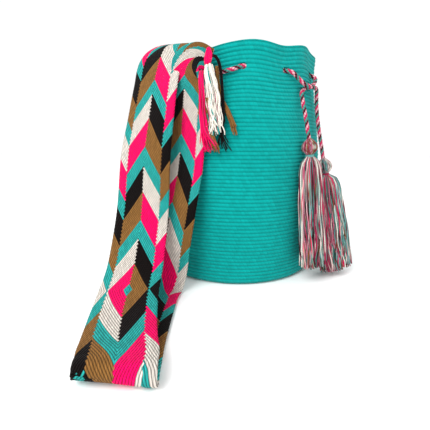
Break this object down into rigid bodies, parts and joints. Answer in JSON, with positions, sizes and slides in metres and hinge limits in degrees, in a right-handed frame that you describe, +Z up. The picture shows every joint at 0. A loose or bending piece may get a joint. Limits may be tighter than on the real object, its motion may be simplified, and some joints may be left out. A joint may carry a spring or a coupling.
{
  "type": "crochet shoulder bag",
  "caption": "Crocheted bucket shoulder bag with a drawstring mouth, two yarn tassels and a wide woven strap draped in a loop beside it.",
  "frame": {"origin": "centre of the bag's flat round base, on the surface it stands on", "axes": "+Z up through the mouth; -Y towards the near side, where the strap's loop lies; +X to the side with the tassels"},
  "size_m": [0.3122, 0.4062, 0.306],
  "materials": {
    "teal_crochet": "matt cotton crochet in close horizontal rows",
    "woven_strap": "matt interlaced cotton in teal, pink, black, brown and cream chevrons",
    "twisted_cord": "twisted cotton cord of mixed colours",
    "mixed_yarn": "loose cotton yarn in pink, aqua, cream, black and brown",
    "cream_yarn": "loose cotton yarn",
    "black_yarn": "loose cotton yarn",
    "brown_yarn": "loose cotton yarn",
    "pink_yarn": "loose cotton yarn"
  },
  "bodies": {
    "root": {"crochet_body": "teal_crochet", "drawstring": "twisted_cord", "tassel_left": "mixed_yarn", "tassel_right": "mixed_yarn", "tassel_binding_left": "mixed_yarn", "tassel_binding_right": "mixed_yarn", "strap": "woven_strap", "fringe_white_front": "cream_yarn", "fringe_white_rear": "cream_yarn", "fringe_black_front": "black_yarn", "fringe_black_rear": "black_yarn", "fringe_brown_front": "brown_yarn", "fringe_brown_rear": "brown_yarn", "fringe_pink_front": "pink_yarn", "fringe_pink_rear": "pink_yarn", "stitching_front": "teal_crochet", "stitching_rear": "teal_crochet"}
  },
  "joints": []
}
